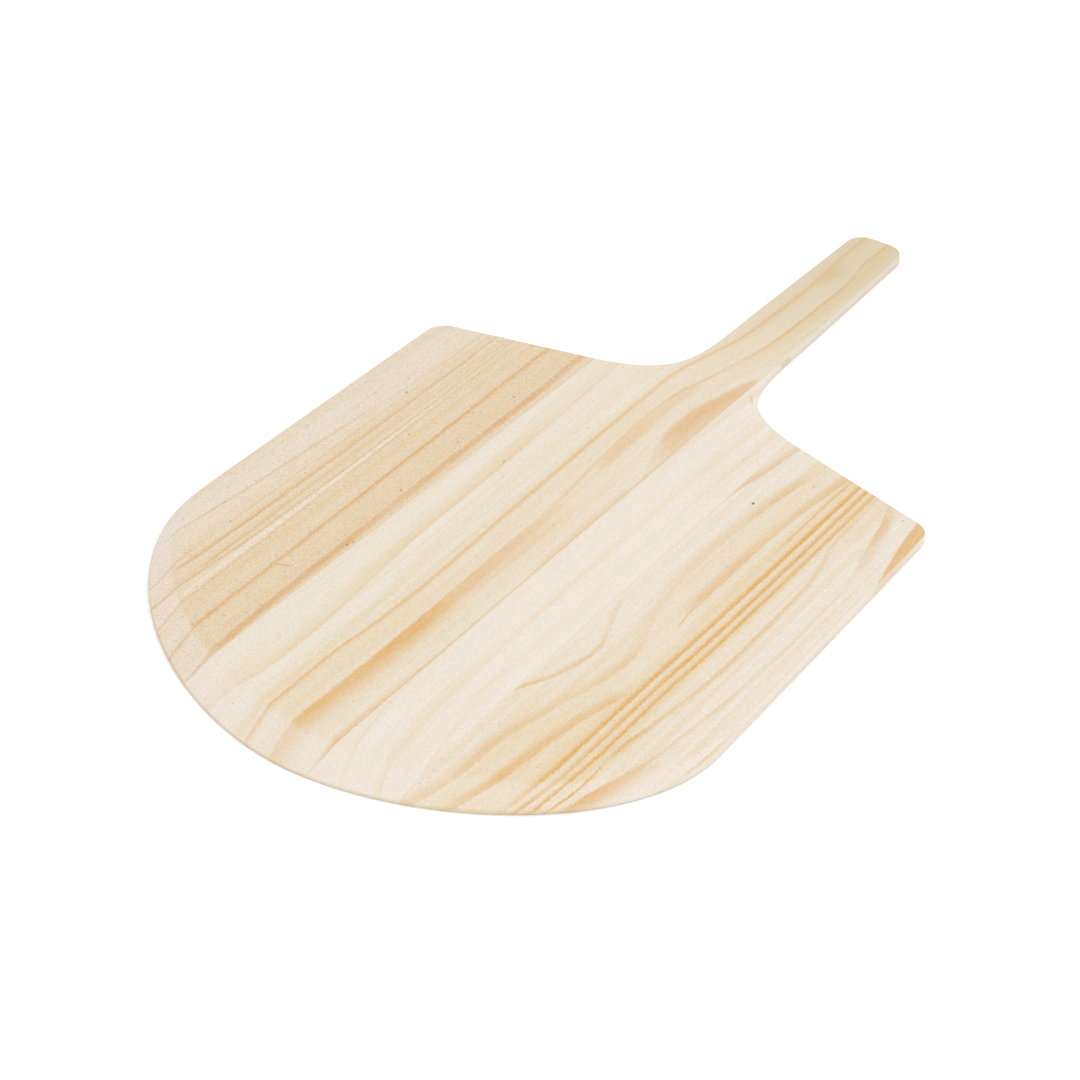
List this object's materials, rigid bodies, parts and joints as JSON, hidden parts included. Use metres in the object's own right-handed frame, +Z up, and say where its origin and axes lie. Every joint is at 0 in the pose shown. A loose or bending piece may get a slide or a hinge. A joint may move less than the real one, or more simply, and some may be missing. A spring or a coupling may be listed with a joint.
{
  "type": "pizza peel",
  "caption": "Flat wooden peel with a round tapered nose, sloping shoulders and a short straight handle, for moving pizza in and out of an oven.",
  "frame": {"origin": "centre of the underside, on the surface that the peel lies on", "axes": "+Y from the nose to the end of the handle, +Z up out of the face that carries the food, +X to the right when looking along +Y"},
  "size_m": [0.356, 0.62, 0.007],
  "materials": {
    "pine_left_edge": "sanded, unfinished",
    "pine_handle": "sanded, unfinished",
    "pine_inner_right": "sanded, unfinished",
    "pine_right_edge": "sanded, unfinished",
    "wood_glue": "dried glue, sanded flush"
  },
  "bodies": {
    "root": {"left_edge_board": "pine_left_edge", "handle_board": "pine_handle", "inner_right_board": "pine_inner_right", "right_edge_board": "pine_right_edge", "glue_line_left": "wood_glue", "glue_line_middle": "wood_glue", "glue_line_right": "wood_glue"}
  },
  "joints": []
}
